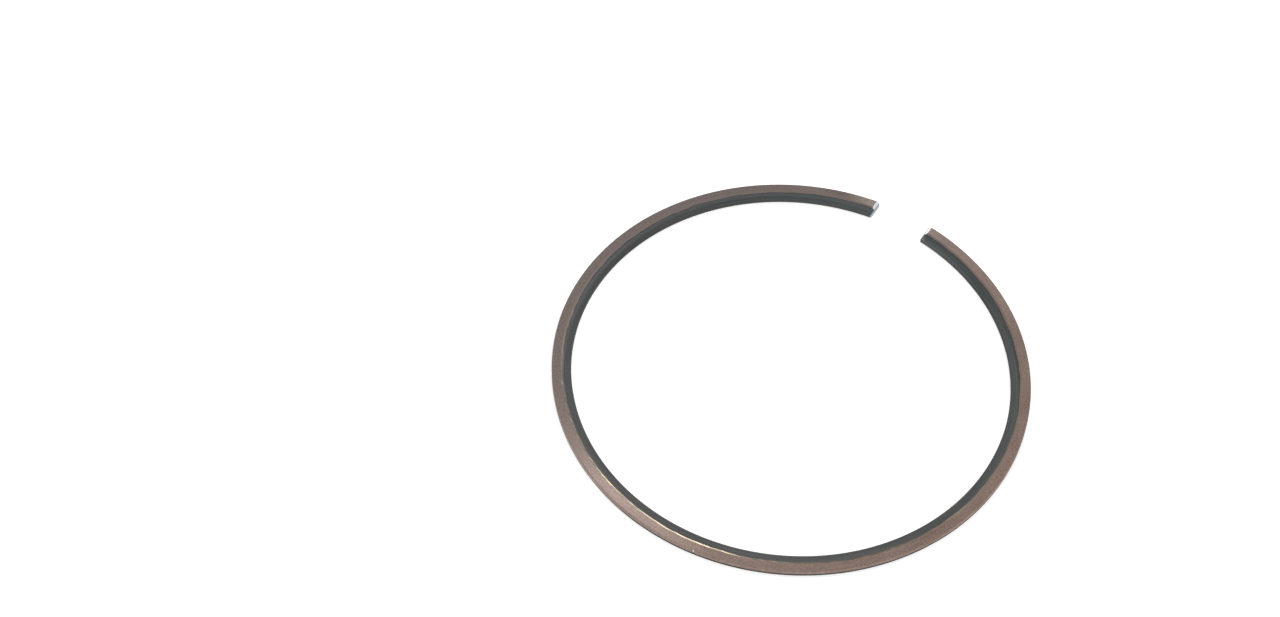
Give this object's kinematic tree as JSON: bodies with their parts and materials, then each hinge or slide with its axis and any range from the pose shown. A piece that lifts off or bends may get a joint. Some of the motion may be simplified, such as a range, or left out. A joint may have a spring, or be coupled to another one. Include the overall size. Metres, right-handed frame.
{
  "type": "piston ring",
  "caption": "Split compression piston ring in its free state, with a stepped upper inner edge, a flat bronze-toned top land and chamfered ends at an open gap.",
  "frame": {"origin": "on the ring axis, in the plane of the lower side face", "axes": "+Z along the ring axis, from the lower side face to the stepped upper side; +Y through the middle of the gap"},
  "size_m": [0.082, 0.0817, 0.0012],
  "materials": {
    "ring_iron": "satin, bronze-toned on the land and the running face, dark grey in the step"
  },
  "bodies": {
    "root": {"compression_ring": "ring_iron"}
  },
  "joints": []
}
